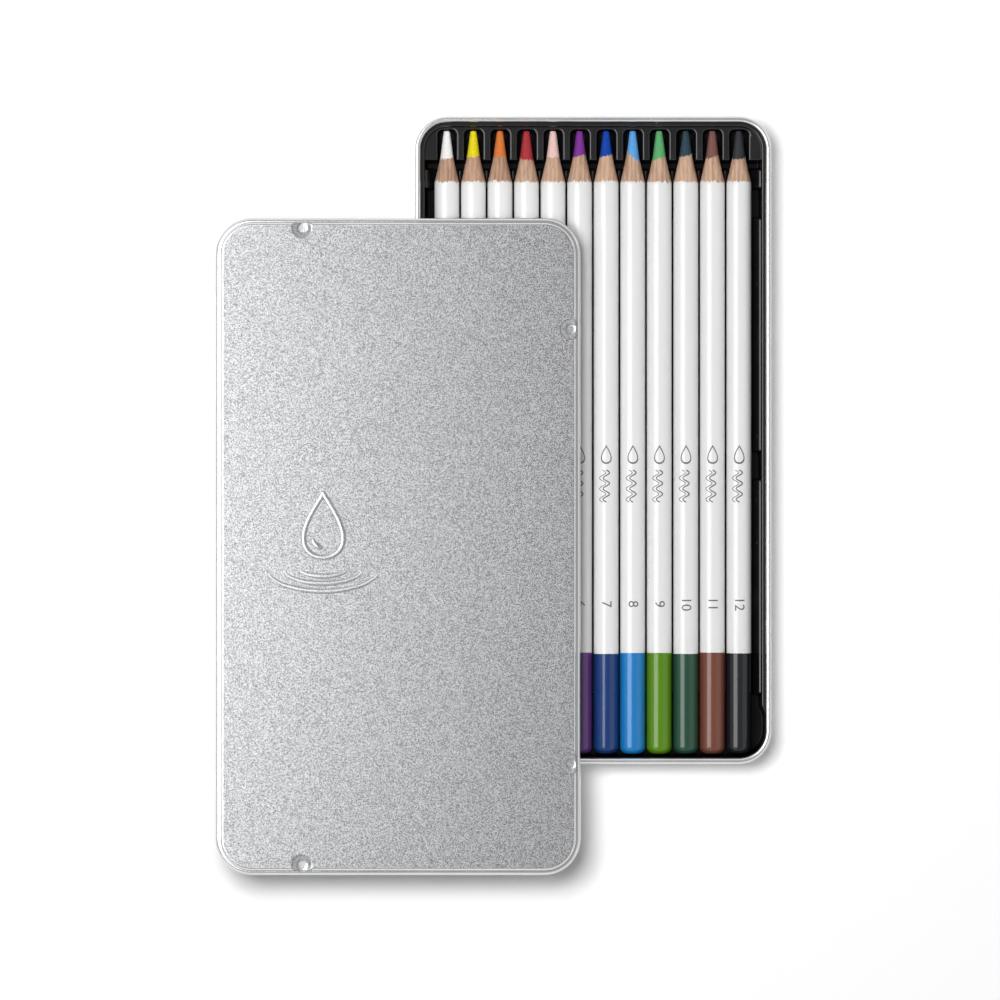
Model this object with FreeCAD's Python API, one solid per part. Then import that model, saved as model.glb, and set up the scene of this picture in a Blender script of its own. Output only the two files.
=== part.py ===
import FreeCAD, Part
import math
import os

from FreeCAD import Vector

# Watercolor pencil set: a slip-lid tin, a formed tray and a row of pencils.
# Frame: X across the pencils, Y along them towards the points, Z up.
# The origin is the middle of the tin's flat underside. Millimetres.

# Pencils
COLOURS = [
    "white", "yellow", "orange", "red", "pink", "purple",
    "blue", "sky_blue", "green", "dark_green", "brown", "black",
]
# Turn of the glue seam between the two half slats, one for each pencil, degrees
SEAM_TURNS = [20, 145, 60, 10, 170, 35, 155, 25, 5, 140, 90, 30]
PENCIL_LENGTH = 175.0
BARREL_DIAMETER = 7.0
CORE_DIAMETER = 3.8
LACQUER_COAT = 0.1
DIP_COAT = 0.08
DIP_LENGTH = 28.3
DIP_END_ROUND = 1.6
POINT_LENGTH = 14.3
BARE_CORE_LENGTH = 7.8
POINT_DIAMETER = 1.7
POINT_BEVEL = 0.35
GLUE_LINE = 0.02
PENCIL_GAP = 0.3

# Formed tray
TRAY_SHEET = 0.45
CRADLE_LIFT = 1.1
GROOVE_FIT = 0.15
RIDGE_DROP = 1.9
SIDE_LAND_RISE = 0.9
SIDE_FLANK = 1.8
SIDE_RIDGE = 0.5
SIDE_ROUND = 1.2
SIDE_ROOM = 2.5
FLANGE_WIDTH = 2.2
FLANGE_FIT = 0.15
WALL_DRAFT = 0.4
TIP_ROOM = 0.4
TIP_SHELF = 0.8
TIP_LAND_RISE = 1.0
TIP_POCKET_WIDTH = 5.4
TIP_POCKET_ROUND = 1.5
TIP_POCKET_ROOM = 0.4
TIP_POCKET_DRAFT = 0.4
BAR_DRAFT = 0.5
TIP_BLOCK_LENGTH = 8.2
TIP_CHANNEL = 2.7
NECK_CRADLE = 5.1
FRONT_CHANNEL = 8.6
FRONT_CRADLE = 65.3
FINGER_CHANNEL = 8.2
END_RECESS = 17.0
END_ROOM = 0.9
END_FLANGE = 1.25
RECESS_STEP = 1.3

# Tin base
TIN_SHEET = 0.3
TIN_CORNER = 9.2
TIN_FOOT_ROUND = 1.2
RIM_RADIUS = 0.8
RIM_TURN = 255.0
RIM_ABOVE_PENCILS = 1.85
TRAY_FIT = 0.25

# Lid
LID_FIT = 0.4
LID_HEIGHT = 9.0
LID_SHOULDER = 1.3
LID_SHOULDER_ROUND = 1.0
LID_STEP = 0.9
LID_PANEL_ROUND = 0.8
LID_HEM = 2.0
DIMPLE_WIDTH = 5.3
DIMPLE_DEPTH = 0.8
DIMPLE_INSET = 2.9
DIMPLE_ACROSS = -26.8
DIMPLE_ALONG = 60.7
# The lid lies open on the rim, moved to the left and towards the blunt ends
LID_MOVED_X = -54.6
LID_MOVED_Y = -29.8
LID_REST_GAP = 0.1

# Overrun of cutting shapes past the faces that they cut
OVERRUN = 1.0

# Sizes that follow
BARREL_RADIUS = BARREL_DIAMETER / 2
WOOD_RADIUS = BARREL_RADIUS - LACQUER_COAT
CORE_RADIUS = CORE_DIAMETER / 2
BORE_RADIUS = CORE_RADIUS + GLUE_LINE
DIP_RADIUS = BARREL_RADIUS + DIP_COAT
WOOD_END = PENCIL_LENGTH - DIP_END_ROUND
POINT_SLOPE = (POINT_LENGTH - BARE_CORE_LENGTH) / (WOOD_RADIUS - BORE_RADIUS)
PITCH = 2 * DIP_RADIUS + PENCIL_GAP
ROW_HALF = len(COLOURS) * PITCH / 2
PENCIL_X = [(i + 0.5) * PITCH - ROW_HALF for i in range(len(COLOURS))]

CAVITY_HALF = ROW_HALF + SIDE_ROOM
FLANGE_HALF = CAVITY_HALF + FLANGE_WIDTH
TIN_HALF_X = FLANGE_HALF + TRAY_FIT + TIN_SHEET
TIP_MARGIN = TIP_ROOM + TIP_SHELF + FLANGE_WIDTH + TRAY_FIT + TIN_SHEET
END_MARGIN = END_ROOM + END_FLANGE + TRAY_FIT + TIN_SHEET
TIN_HALF_Y = (TIP_MARGIN + PENCIL_LENGTH + END_MARGIN) / 2
TIP_Y = TIN_HALF_Y - TIP_MARGIN
FLANGE_HALF_Y = TIN_HALF_Y - TIN_SHEET - TRAY_FIT
FLANGE_CORNER = TIN_CORNER - TIN_SHEET - TRAY_FIT

FLOOR_TOP = TIN_SHEET + TRAY_SHEET
GROOVE_RADIUS = DIP_RADIUS + GROOVE_FIT
AXIS_Z = FLOOR_TOP + CRADLE_LIFT + GROOVE_RADIUS
RIDGE_Z = AXIS_Z - RIDGE_DROP
SIDE_LAND_Z = AXIS_Z + SIDE_LAND_RISE
TIP_LAND_Z = AXIS_Z + TIP_LAND_RISE
POCKET_FLOOR_Z = AXIS_Z - CORE_RADIUS - TIP_POCKET_ROOM
TIN_HEIGHT = AXIS_Z + DIP_RADIUS + RIM_ABOVE_PENCILS
FLANGE_TOP = TIN_HEIGHT - 2 * RIM_RADIUS - FLANGE_FIT

LID_GROWTH = LID_FIT + 2 * TIN_SHEET
LID_HALF_X = TIN_HALF_X + LID_GROWTH
LID_HALF_Y = TIN_HALF_Y + LID_GROWTH
LID_CORNER = TIN_CORNER + LID_GROWTH
LID_FOOT_Z = TIN_HEIGHT + LID_REST_GAP


def rounded_wire(x0, x1, y0, y1, radius, z):
    """Level outline of a rectangle with rounded corners."""
    cut = radius * (1 - math.sqrt(0.5))
    corners = [(x1, y0, -1, 1), (x1, y1, -1, -1), (x0, y1, 1, -1), (x0, y0, 1, 1)]
    arcs = []
    for index, (x, y, sx, sy) in enumerate(corners):
        beside = Vector(x + sx * radius, y, z)
        above = Vector(x, y + sy * radius, z)
        middle = Vector(x + sx * cut, y + sy * cut, z)
        ends = (beside, above) if index % 2 == 0 else (above, beside)
        arcs.append((ends[0], middle, ends[1]))
    edges = []
    for index, (start, middle, end) in enumerate(arcs):
        following = arcs[(index + 1) % len(arcs)][0]
        edges.append(Part.Arc(start, middle, end).toShape())
        edges.append(Part.LineSegment(end, following).toShape())
    return Part.Wire(edges)


def block(half_x, half_y, radius, z0, z1):
    """Upright block with rounded corners, centred on the Z axis."""
    wire = rounded_wire(-half_x, half_x, -half_y, half_y, radius, z0)
    return Part.Face(wire).extrude(Vector(0, 0, z1 - z0))


def round_level_edges(solid, z, radius):
    """Round the edges of a solid that lie level at height z."""
    box = solid.BoundBox
    near = (box.ZMax - box.ZMin) / 1000
    picked = []
    for edge in solid.Edges:
        low = abs(edge.BoundBox.ZMin - z) < near
        if low and abs(edge.BoundBox.ZMax - z) < near:
            picked.append(edge)
    return solid.makeFillet(radius, picked)


def spin(profile, start=0.0, turn=360.0):
    """Revolve a closed profile of (radius, distance behind the point)."""
    points = [Vector(radius, -station, 0) for radius, station in profile]
    face = Part.Face(Part.makePolygon(points + points[:1]))
    face.rotate(Vector(0, 0, 0), Vector(0, 1, 0), start)
    return face.revolve(Vector(0, 0, 0), Vector(0, 1, 0), turn)


def eased_corner(radius, station, size):
    """Points round the outer corner of a turned end, as two short bevels."""
    points = []
    for angle in (0.0, 45.0, 90.0):
        inwards = size * (1 - math.cos(math.radians(angle)))
        forwards = size * (1 - math.sin(math.radians(angle)))
        points.append((radius - inwards, station - forwards))
    return points


def pencil_core():
    """Rod of colour with a blunt, slightly worn point."""
    profile = [
        (0, 0),
        (POINT_DIAMETER / 2 - POINT_BEVEL, 0),
        (POINT_DIAMETER / 2, POINT_BEVEL),
        (CORE_RADIUS, BARE_CORE_LENGTH),
        (CORE_RADIUS, WOOD_END),
        (0, WOOD_END),
    ]
    return spin(profile)


def pencil_casing(seam):
    """Two half slats that meet on the glue seam."""
    profile = [
        (BORE_RADIUS, BARE_CORE_LENGTH),
        (WOOD_RADIUS, POINT_LENGTH),
        (WOOD_RADIUS, WOOD_END),
        (BORE_RADIUS, WOOD_END),
    ]
    halves = [spin(profile, seam + side, 180.0) for side in (0.0, 180.0)]
    return Part.makeCompound(halves)


def pencil_lacquer():
    """Coat on the barrel, cut back at the point by the same cone as the wood."""
    profile = [
        (WOOD_RADIUS, POINT_LENGTH),
        (BARREL_RADIUS, POINT_LENGTH + LACQUER_COAT * POINT_SLOPE),
        (BARREL_RADIUS, WOOD_END),
        (WOOD_RADIUS, WOOD_END),
    ]
    return spin(profile)


def pencil_dip():
    """Coloured cap over the lacquer at the blunt end."""
    profile = [
        (0, WOOD_END),
        (BARREL_RADIUS, WOOD_END),
        (BARREL_RADIUS, PENCIL_LENGTH - DIP_LENGTH),
        (DIP_RADIUS, PENCIL_LENGTH - DIP_LENGTH),
    ]
    profile += eased_corner(DIP_RADIUS, PENCIL_LENGTH, DIP_END_ROUND)
    profile.append((0, PENCIL_LENGTH))
    return spin(profile)


def rolled_rim():
    """Sheet rolled inwards round the top of the tin's wall."""
    height = TIN_HEIGHT - RIM_RADIUS
    half_x = TIN_HALF_X - RIM_RADIUS
    half_y = TIN_HALF_Y - RIM_RADIUS
    path = rounded_wire(-half_x, half_x, -half_y, half_y, TIN_CORNER - RIM_RADIUS, height)
    start = path.OrderedEdges[0].valueAt(path.OrderedEdges[0].FirstParameter)

    def at(radius, share):
        angle = math.radians(RIM_TURN * share)
        return start + Vector(0, -radius * math.cos(angle), radius * math.sin(angle))

    outer = RIM_RADIUS
    inner = RIM_RADIUS - TIN_SHEET
    middle = 0.5
    section = Part.Wire([
        Part.Arc(at(outer, 0), at(outer, middle), at(outer, 1)).toShape(),
        Part.LineSegment(at(outer, 1), at(inner, 1)).toShape(),
        Part.Arc(at(inner, 1), at(inner, middle), at(inner, 0)).toShape(),
        Part.LineSegment(at(inner, 0), at(outer, 0)).toShape(),
    ])
    return path.makePipeShell([section], True, False)


def tin_base():
    """Drawn tray of sheet with a rounded foot and a rolled rim."""
    wall_top = TIN_HEIGHT - RIM_RADIUS
    outside = block(TIN_HALF_X, TIN_HALF_Y, TIN_CORNER, 0, wall_top)
    outside = round_level_edges(outside, 0, TIN_FOOT_ROUND)
    inside = block(
        TIN_HALF_X - TIN_SHEET, TIN_HALF_Y - TIN_SHEET, TIN_CORNER - TIN_SHEET,
        TIN_SHEET, wall_top + OVERRUN)
    inside = round_level_edges(inside, TIN_SHEET, TIN_FOOT_ROUND - TIN_SHEET)
    return outside.cut(inside).fuse(rolled_rim()).removeSplitter()


def lid_form(inset):
    """Solid inside the lid's outer face, drawn in by a share of the sheet."""
    shoulder_z = LID_HEIGHT - LID_STEP - inset
    panel_z = LID_HEIGHT - inset
    skirt = block(
        LID_HALF_X - inset, LID_HALF_Y - inset, LID_CORNER - inset, 0, shoulder_z)
    skirt = round_level_edges(skirt, shoulder_z, LID_SHOULDER_ROUND - inset)
    shrink = LID_SHOULDER + inset
    panel = block(
        LID_HALF_X - shrink, LID_HALF_Y - shrink, LID_CORNER - shrink, 0, panel_z)
    panel = round_level_edges(panel, panel_z, LID_PANEL_ROUND - inset)
    form = skirt.fuse(panel)
    half = DIMPLE_WIDTH / 2
    ball = (half * half + DIMPLE_DEPTH * DIMPLE_DEPTH) / (2 * DIMPLE_DEPTH)
    ball_z = LID_HEIGHT - DIMPLE_DEPTH + ball
    edge_x = LID_HALF_X - DIMPLE_INSET
    edge_y = LID_HALF_Y - DIMPLE_INSET
    places = [
        (DIMPLE_ACROSS, edge_y), (DIMPLE_ACROSS, -edge_y),
        (edge_x, DIMPLE_ALONG), (edge_x, -DIMPLE_ALONG),
    ]
    for x, y in places:
        form = form.cut(Part.makeSphere(ball + inset, Vector(x, y, ball_z)))
    return form


def lid():
    """Drawn lid: hemmed skirt, stepped shoulder, flat panel, pressed dimples."""
    shell = lid_form(0).cut(lid_form(TIN_SHEET))
    hem_out = block(
        LID_HALF_X - TIN_SHEET, LID_HALF_Y - TIN_SHEET, LID_CORNER - TIN_SHEET, 0, LID_HEM)
    hem_in = block(
        LID_HALF_X - 2 * TIN_SHEET, LID_HALF_Y - 2 * TIN_SHEET,
        LID_CORNER - 2 * TIN_SHEET, -OVERRUN, LID_HEM + OVERRUN)
    shape = shell.fuse(hem_out.cut(hem_in)).removeSplitter()
    shape.translate(Vector(LID_MOVED_X, LID_MOVED_Y, LID_FOOT_Z))
    return shape


def tapered_well(x_half, y0, y1, radius, z0):
    """Well with drafted walls. The sizes given hold at the flange."""
    rate = WALL_DRAFT / (FLANGE_TOP - FLOOR_TOP)
    wires = []
    for z in (z0, FLANGE_TOP + OVERRUN):
        grow = rate * (z - FLANGE_TOP)
        wires.append(rounded_wire(
            -x_half - grow, x_half + grow, y0 - grow, y1 + grow, radius + grow, z))
    return Part.makeLoft(wires, True, True)


def tray_wells(inset):
    """Main well and the wider recess round the blunt ends, as one space."""
    low = FLOOR_TOP - inset - (OVERRUN if inset else 0)
    end_y = -FLANGE_HALF_Y + END_FLANGE
    top_y = FLANGE_HALF_Y - FLANGE_WIDTH
    recess_y = TIP_Y - PENCIL_LENGTH + END_RECESS
    corner = FLANGE_CORNER - FLANGE_WIDTH + inset
    recess_corner = corner + RECESS_STEP
    main = tapered_well(
        CAVITY_HALF + inset, (end_y + recess_y) / 2 - corner, top_y + inset, corner, low)
    recess = tapered_well(
        CAVITY_HALF + RECESS_STEP + inset, end_y - inset, recess_y + inset, recess_corner, low)
    return main.fuse(recess)


def drafted_span(inset, front, rear):
    """Bar across the tray whose two ends lean in. The span given is that of its top."""
    low = TIN_SHEET - OVERRUN
    high = SIDE_LAND_Z + OVERRUN
    rate = BAR_DRAFT / (SIDE_LAND_Z - FLOOR_TOP)
    lean_low = rate * (SIDE_LAND_Z - low) - inset
    lean_high = rate * (SIDE_LAND_Z - high) - inset
    corners = [
        Vector(-FLANGE_HALF, rear - lean_low, low),
        Vector(-FLANGE_HALF, front + lean_low, low),
        Vector(-FLANGE_HALF, front + lean_high, high),
        Vector(-FLANGE_HALF, rear - lean_high, high),
    ]
    end = Part.Face(Part.makePolygon(corners + corners[:1]))
    return end.extrude(Vector(2 * FLANGE_HALF, 0, 0))


def cradle(inset, front, rear):
    """Bar with one round groove for each pencil and rounded lands at its sides."""
    low = TIN_SHEET - OVERRUN
    radius = GROOVE_RADIUS + inset
    ridge = RIDGE_Z - inset
    half = math.sqrt(radius ** 2 - (AXIS_Z - ridge) ** 2)
    rise = SIDE_LAND_Z - RIDGE_Z
    flank_shift = inset * (math.hypot(SIDE_FLANK, rise) - SIDE_FLANK) / rise
    plain_half = math.sqrt(GROOVE_RADIUS ** 2 - RIDGE_DROP ** 2)
    foot_x = PENCIL_X[-1] + plain_half + SIDE_RIDGE + flank_shift
    land_x = foot_x + SIDE_FLANK
    land_z = SIDE_LAND_Z - inset

    def at(x, z):
        return Vector(x, 0, z)

    edges = []
    here = at(-foot_x, ridge)
    for x in PENCIL_X:
        edges.append(Part.LineSegment(here, at(x - half, ridge)).toShape())
        here = at(x + half, ridge)
        edges.append(Part.Arc(at(x - half, ridge), at(x, AXIS_Z - radius), here).toShape())
    closing = [
        here, at(foot_x, ridge), at(land_x, land_z), at(FLANGE_HALF, land_z),
        at(FLANGE_HALF, low), at(-FLANGE_HALF, low), at(-FLANGE_HALF, land_z),
        at(-land_x, land_z), at(-foot_x, ridge),
    ]
    for start, end in zip(closing, closing[1:]):
        edges.append(Part.LineSegment(start, end).toShape())
    bar = Part.Face(Part.Wire(edges)).extrude(Vector(0, front - rear + 2 * OVERRUN, 0))
    bar.translate(Vector(0, rear - OVERRUN, 0))
    picked = []
    for edge in bar.Edges:
        middle = edge.CenterOfMass
        on_land = abs(middle.z - land_z) < GLUE_LINE
        if on_land and abs(abs(middle.x) - land_x) < GLUE_LINE:
            picked.append(edge)
    return bar.makeFillet(SIDE_ROUND - inset, picked).common(drafted_span(inset, front, rear))


def tip_pocket(inset, x, rear):
    """Space of one pocket: drafted walls, round inner corners, open towards the barrel."""
    back = TIP_Y + TIP_ROOM + inset
    rate = TIP_POCKET_DRAFT / (TIP_LAND_Z - POCKET_FLOOR_Z)
    wires = []
    for z in (POCKET_FLOOR_Z - inset, TIP_LAND_Z + OVERRUN):
        grow = inset + rate * (z - TIP_LAND_Z)
        half = TIP_POCKET_WIDTH / 2 + grow
        wires.append(rounded_wire(
            x - half, x + half, rear - TIP_CHANNEL, back + grow - inset,
            TIP_POCKET_ROUND + grow, z))
    return Part.makeLoft(wires, True, True)


def tip_block(inset, rear):
    """Shelf under the points with one pocket for each of them."""
    shelf = drafted_span(inset, FLANGE_HALF_Y + OVERRUN, rear)
    top = Part.makeBox(
        2 * FLANGE_HALF, PENCIL_LENGTH, TIN_HEIGHT,
        Vector(-FLANGE_HALF, rear - OVERRUN, TIP_LAND_Z - inset))
    shelf = shelf.cut(top)
    for x in PENCIL_X:
        shelf = shelf.cut(tip_pocket(inset, x, rear))
    return shelf


def tray_form(inset):
    """Solid under the tray's upper face, or under its lower face when inset."""
    form = block(
        FLANGE_HALF, FLANGE_HALF_Y, FLANGE_CORNER, TIN_SHEET, FLANGE_TOP - inset)
    tip_rear = TIP_Y - TIP_BLOCK_LENGTH
    neck_front = tip_rear - TIP_CHANNEL
    neck_rear = neck_front - NECK_CRADLE
    front_front = neck_rear - FRONT_CHANNEL
    front_rear = front_front - FRONT_CRADLE
    rear_front = front_rear - FINGER_CHANNEL
    rear_rear = TIP_Y - PENCIL_LENGTH + END_RECESS
    space = tray_wells(inset).cut(tip_block(inset, tip_rear))
    spans = [(neck_front, neck_rear), (front_front, front_rear), (rear_front, rear_rear)]
    for front, rear in spans:
        space = space.cut(cradle(inset, front, rear))
    return form.cut(space)


def pencil_tray():
    """Thin formed sheet between the upper and lower faces."""
    return tray_form(0).cut(tray_form(TRAY_SHEET)).removeSplitter()


def save(name, shape):
    shape.exportStep(os.path.join("parts", name + ".step"))
    print(name, len(shape.Solids), "solids", round(shape.Volume, 2), "mm3", shape.isValid())


def main():
    os.makedirs("parts", exist_ok=True)
    save("tin_base", tin_base())
    save("lid", lid())
    save("pencil_tray", pencil_tray())
    for colour, x, seam in zip(COLOURS, PENCIL_X, SEAM_TURNS):
        pieces = {
            "core": pencil_core(),
            "casing": pencil_casing(seam),
            "lacquer": pencil_lacquer(),
            "end_dip": pencil_dip(),
        }
        for piece, shape in pieces.items():
            shape.translate(Vector(x, TIP_Y, AXIS_Z))
            save(colour + "_pencil_" + piece, shape)


main()
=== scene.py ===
import math

import bmesh
import bpy
import numpy as np
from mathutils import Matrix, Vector, geometry


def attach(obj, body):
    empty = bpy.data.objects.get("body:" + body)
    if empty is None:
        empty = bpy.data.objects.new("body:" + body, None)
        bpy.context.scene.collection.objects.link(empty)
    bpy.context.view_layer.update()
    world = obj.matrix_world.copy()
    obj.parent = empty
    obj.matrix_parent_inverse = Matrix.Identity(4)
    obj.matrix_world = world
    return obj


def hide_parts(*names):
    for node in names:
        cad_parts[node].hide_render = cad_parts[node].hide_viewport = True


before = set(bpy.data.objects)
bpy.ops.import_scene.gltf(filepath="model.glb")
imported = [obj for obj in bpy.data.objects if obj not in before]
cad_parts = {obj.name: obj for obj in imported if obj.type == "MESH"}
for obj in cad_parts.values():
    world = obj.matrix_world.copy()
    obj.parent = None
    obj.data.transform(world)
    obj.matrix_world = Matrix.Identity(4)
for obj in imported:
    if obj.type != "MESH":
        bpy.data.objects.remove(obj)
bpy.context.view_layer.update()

# Looks of a watercolor pencil set: tin base, frosted lid, black formed tray, twelve pencils.
# Sizes are millimetres, and MM turns them into metres. The sizes of the pencils, the tin, the lid
# and the tray repeat the part's own. The finer forms are the looks' alone.
MM = 0.001

# Pencils: stations are measured back from the point
PITCH = 7.46
AXIS_Z = 5.58
TIP_Y = 86.875
PENCIL_LENGTH = 175.0
WOOD_END = 173.4
BARREL_RADIUS = 3.5
WOOD_RADIUS = 3.4
CORE_RADIUS = 1.9
BORE_RADIUS = 1.92
DIP_RADIUS = 3.58
DIP_LENGTH = 28.3
POINT_LENGTH = 14.3
BARE_CORE_LENGTH = 7.8
POINT_RADIUS = 0.85
FRONT_SLOPE = (CORE_RADIUS - POINT_RADIUS) / BARE_CORE_LENGTH
REAR_SLOPE = (WOOD_RADIUS - BORE_RADIUS) / (POINT_LENGTH - BARE_CORE_LENGTH)

# Finer forms of the pencils: the worn point, the ragged edges of wood and lacquer, the dip
TIP_ROUND = 0.4
TIP_FLARE = 0.03
TIP_FLAT = (0.22, 0.012)
CORE_STOPS = (1.5, 3.0, 4.5, 6.0, BARE_CORE_LENGTH, 9.0, 10.2)
CORE_CONE_END = 10.4
WOOD_RAGGED = 1.5
WOOD_EDGE = ((0.0, 1.0), (0.35, 0.95), (0.9, 0.7), (1.8, 0.35), (3.0, 0.0))
WOOD_LIFT = 0.012
WOOD_TUCK = -0.05
BORE_STOP = 13.0
COAT_EDGE = ((0.0, 2.0), (0.16, 1.8), (0.34, 1.4))
COAT_LIFT = 0.03
COAT_TUCK = -0.06
COAT_STOPS = (15.6, 16.6, 60.0, 110.0)
DIP_END_ROUND = 2.0
DIP_UNEVEN = 0.2
DIP_END_FLAT = (1.2, 0.008)
WELD = 0.0015

# Tin base and lid
TIN_SHEET = 0.3
TIN_HALF_X = 50.01
TIN_HALF_Y = 90.825
TIN_CORNER = 9.2
TIN_FOOT_ROUND = 1.2
TIN_HEIGHT = 11.01
RIM_RADIUS = 0.8
RIM_TURN = 255.0
LID_HALF_X = 51.01
LID_HALF_Y = 91.825
LID_CORNER = 10.2
LID_HEIGHT = 9.0
LID_STEP = 0.9
LID_SHOULDER = 1.3
LID_SHOULDER_ROUND = 1.0
LID_PANEL_ROUND = 0.8
LID_HEM = 2.0
LID_STEP_Z = LID_HEIGHT - LID_STEP
LID_PANEL_EDGE = LID_SHOULDER + LID_PANEL_ROUND
LID_PLACE = (-54.6, -29.8, 11.11)
DIMPLE_DEPTH = 0.8
DIMPLE_HALF = 2.65
DIMPLE_INSET = 2.9
DIMPLE_ACROSS = -26.8
DIMPLE_ALONG = 60.7

# Finer forms of the tin and the lid: where the swept section ends and a flat face fills it,
# the dimples, and the close points of the mesh near them
BASE_FLAT = 6.0
LID_FLAT = 8.4
DIMPLE_FLOOR = 1.5
DIMPLE_SOFT_FLOOR = 0.35
DIMPLE_SOFT_BRIM = 0.15
DIMPLE_FROST = 0.8
PANEL_STOP = 0.25
DIMPLE_REACH = 4.2
DIMPLE_STOP = 0.3
CORNER_STEPS = 24

# Formed tray
TRAY_SHEET = 0.45
FLANGE_HALF_X = 49.46
FLANGE_HALF_Y = 90.275
FLANGE_CORNER = 8.65
FLANGE_Z = 9.26
FLOOR_Z = 0.75
WELL_HALF_X = 47.26
WELL_FRONT = 88.075
WELL_REAR = -86.525
WELL_CORNER = 6.45
RECESS_HALF_X = 48.56
RECESS_FRONT = -71.125
RECESS_REAR = -89.025
RECESS_CORNER = 7.75
GROOVE_RADIUS = 3.73
RIDGE_Z = 3.68
SIDE_LAND_Z = 6.48
SIDE_FOOT_X = 44.74
SIDE_FLANK = 1.8
TIP_LAND_Z = 6.58
TIP_REAR = 78.675
POCKET_FLOOR_Z = 3.28
POCKET_HALF = 2.7
POCKET_BACK = 87.275
POCKET_ROUND = 1.5
BARS = [(75.975, 70.875), (62.275, -3.025), (-11.225, -71.125)]

# Finer forms of the tray. Each formed edge has its start before the line, the round at its top,
# the round at its foot and its lean in degrees.
WALL_EDGE = (0.5, 0.5, 0.6, 87.3)
BAR_EDGE = (0.4, 0.45, 0.45, 85.0)
POCKET_EDGE = (0.5, 0.6, 0.9, 83.0)
RIDGE_SOFT = 0.5
LAND_SOFT = 1.1
CRADLE_SOFT = 0.4
LEAST_SHEET = 0.2

# Places of the lines in the tray's mesh: off a pencil's axis, at the sides, at each formed edge,
# between the edges, and down the wall of the well
OFF_AXIS = (0.0, 0.9, 1.47, 1.75, 2.0, 2.2, 2.36, 2.48, 2.6, 2.66, 2.76, 2.9, 3.05, 3.2, 3.45)
AT_SIDES = (44.9, 45.2, 45.5, 46.2, 46.7, 47.0)
AT_EDGES = (-0.42, -0.3, -0.15, -0.04, 0.04, 0.25, 0.47, 0.54, 0.68, 0.84, 1.0)
BETWEEN_EDGES = {
    87.0, 86.8, 86.55, 86.3, 86.0, 85.6, 85.0, 83.0, 81.0, 79.8, 77.2, 73.4, 69.0, 66.5, 64.0,
    48.0, 30.0, 14.0, -5.5, -7.2, -9.0, -26.0, -41.0, -56.0, -73.5, -76.0, -80.0, -84.0, -87.0}
DOWN_WALL = (-0.38, -0.2, -0.07, 0.0, 0.2, 0.35, 0.45, 0.6, 0.78, 0.98, 1.25)
FLANGE_SHARE = 0.12
GRID_INSET = 1.5
FILL_INSET = 1.2

# Prints: places along the barrel from the middle of the tin, towards the dipped end
NUMBER_SIZE = 4.0
NUMBER_AT = 46.0
DROP_INNER = (4.08, 2.8, 4.3)
DROP_OUTER = (4.0, 3.5, 5.4)
DROP_STEPS = 40
WAVE_START = 8.4
WAVE_STEP = 0.2
WAVE_TURN = 0.42
WAVE_HIGH = 0.9
WAVE_POINTS = 46
WAVES = ((0.0, 0.34), (1.1, 0.22))
INK_THICK = 0.02
INK_SUNK = 0.002
CUTS = 7
CUT_PITCH = 0.3
CUT_START = 0.017
TOUCH = 0.004

# Raised emblem on the lid
EMBLEM_PLACE = (-75.4, -29.9)
EMBLEM_FROST = 0.75
EMBLEM_DROP = (12.5, 18.0, 72)
EMBLEM_DROP_Y = 6.0
GLEAM_ARC = ((0.4, 3.2), 3.6, 195, 262, 12)
BEAD_HALF = 0.75
BEAD_HIGH = 0.3
BEAD_SUNK = 0.08
THIN_END = 0.35
RIPPLES = ((6.5, 2.0), (11.0, 4.0), (15.6, 6.2))
RIPPLES_Y = -6.2

# Studio, in metres: name, place, aim, size, glow, whether it lights, whether it is mirrored
LAMPS = [
    ("key_softbox", (-0.24, 0.15, 1.09), (0.0, 0.0, 0.0), (0.46, 0.46), 13.8, True, False),
    ("side_softbox", (-0.295, 0.0, 0.51), (-0.033, 0.0, 0.0), (0.40, 0.394), 3.3, False, True),
    ("white_card", (0.86, 0.0, 0.56), (0.03, 0.0, 0.0), (1.20, 0.89), 0.42, True, True),
]
GROUND_REACH = 6.0
GROUND_Z = -0.0002
GROUND_GLOW = 0.08
AMBIENT = 0.10
CAMERA_AT = (-0.0261, -0.0168, 0.011)
CAMERA_DISTANCE = 2.5
VIEW_WIDTH = 0.2804
SENSOR_WIDTH = 36.0

# Name, colour of the core, colour of the dipped end, shift and slant of the core's edge,
# turn of the glue seam in degrees, lightness of the wood
PENCILS = [
    ("white", "#fbfaf6", "#e9e8e3", -0.1, (-0.2, 0.1), 20, 0.30),
    ("yellow", "#f0dc14", "#ecc81e", -0.6, (-0.3, 0.1), 145, 0.02),
    ("orange", "#e07c38", "#e2661e", -0.5, (0.0, 0.1), 60, 0.08),
    ("red", "#ae323a", "#b3222c", 0.1, (0.3, 0.2), 10, 0.55),
    ("pink", "#f0cbc3", "#e79fa2", -0.4, (0.0, 0.1), 170, 0.50),
    ("purple", "#7e3096", "#6c3c86", -0.8, (-0.4, 0.1), 35, 0.55),
    ("blue", "#0042a8", "#103b7a", -0.8, (-0.4, 0.1), 155, 0.60),
    ("sky_blue", "#5ea7e8", "#1a86cf", -0.6, (1.5, 0.3), 25, 0.65),
    ("green", "#60b072", "#5e9100", -0.1, (-0.5, 0.2), 5, 0.65),
    ("dark_green", "#2a434e", "#23513c", -1.0, (-0.5, 0.3), 140, 0.65),
    ("brown", "#7e544c", "#7d4838", -0.6, (-0.5, 0.2), 90, 0.60),
    ("black", "#313338", "#1c1e22", -0.1, (-0.2, 0.2), 30, 0.65),
]


def axis_x(index):
    """Distance of a pencil's axis from the middle of the tin."""
    return (index + 0.5 - len(PENCILS) / 2) * PITCH


def linear(code):
    """Colour for a shader from a painter's hex code."""
    channels = [int(code[i:i + 2], 16) / 255 for i in (1, 3, 5)]
    return tuple(c / 12.92 if c <= 0.04045 else ((c + 0.055) / 1.055) ** 2.4
                 for c in channels) + (1.0,)


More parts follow.
